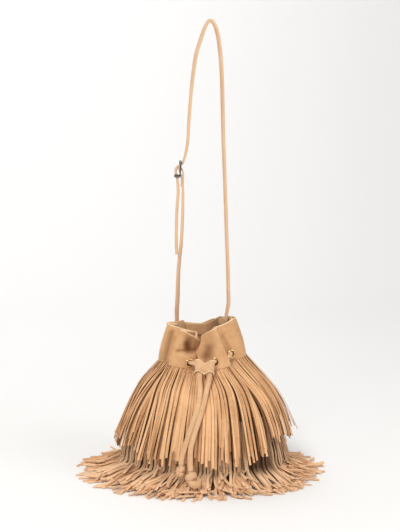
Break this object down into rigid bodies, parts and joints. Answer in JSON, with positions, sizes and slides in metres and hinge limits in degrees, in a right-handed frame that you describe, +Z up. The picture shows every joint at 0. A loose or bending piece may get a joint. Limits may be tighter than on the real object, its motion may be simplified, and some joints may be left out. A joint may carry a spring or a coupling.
{
  "type": "fringed suede drawstring bag",
  "caption": "Soft suede drawstring bag with two tiers of cut fringe, brass eyelets, a rolled drawcord with a slider and knots, and a long buckled shoulder strap.",
  "frame": {"origin": "the middle of the base panel's underside, on the surface that the bag stands on", "axes": "+Z up along the standing strap, -Y is the bag's front with the drawcord's slider, +X to the right seen from the front"},
  "size_m": [0.4676, 0.365, 0.8411],
  "materials": {
    "body_suede": "matte suede nap",
    "facing_suede": "matte suede nap, shaded",
    "fringe_suede": "matte cut suede strips",
    "cord_suede": "matte rolled suede",
    "strap_suede": "matte folded and stitched suede",
    "eyelet_brass": "polished",
    "buckle_metal": "polished dark nickel"
  },
  "bodies": {
    "bag": {"base_panel": "body_suede", "pouch_wall": "body_suede", "mouth_band": "body_suede", "mouth_facing": "facing_suede", "upper_fringe": "fringe_suede", "lower_fringe": "fringe_suede", "fringe_ends": "fringe_suede", "eyelet_01": "eyelet_brass", "eyelet_washer_01": "eyelet_brass", "eyelet_02": "eyelet_brass", "eyelet_washer_02": "eyelet_brass", "eyelet_03": "eyelet_brass", "eyelet_washer_03": "eyelet_brass", "eyelet_04": "eyelet_brass", "eyelet_washer_04": "eyelet_brass", "eyelet_05": "eyelet_brass", "eyelet_washer_05": "eyelet_brass", "eyelet_06": "eyelet_brass", "eyelet_washer_06": "eyelet_brass", "eyelet_07": "eyelet_brass", "eyelet_washer_07": "eyelet_brass", "eyelet_08": "eyelet_brass", "eyelet_washer_08": "eyelet_brass", "eyelet_09": "eyelet_brass", "eyelet_washer_09": "eyelet_brass", "eyelet_10": "eyelet_brass", "eyelet_washer_10": "eyelet_brass", "eyelet_11": "eyelet_brass", "eyelet_washer_11": "eyelet_brass", "eyelet_12": "eyelet_brass", "eyelet_washer_12": "eyelet_brass", "drawcord": "cord_suede", "cord_knot_left": "cord_suede", "cord_knot_right": "cord_suede", "strap_long": "strap_suede", "strap_short": "strap_suede", "strap_tab_left": "facing_suede", "strap_tab_right": "facing_suede", "buckle_frame": "buckle_metal"},
    "slider": {"cord_slider": "cord_suede"},
    "prong": {"buckle_prong": "buckle_metal"}
  },
  "joints": [
    {"name": "slider_slide", "type": "slide", "parent": "bag", "child": "slider", "axis": [-0.075, -0.4591, -0.8852], "range_m": [0, 0.03], "deforming": ["drawcord"]},
    {"name": "prong_hinge", "type": "hinge", "parent": "bag", "child": "prong", "pos_m": [-0.036, 0, 0.569], "axis": [0, -1, 0], "range_deg": [0, 12]}
  ]
}
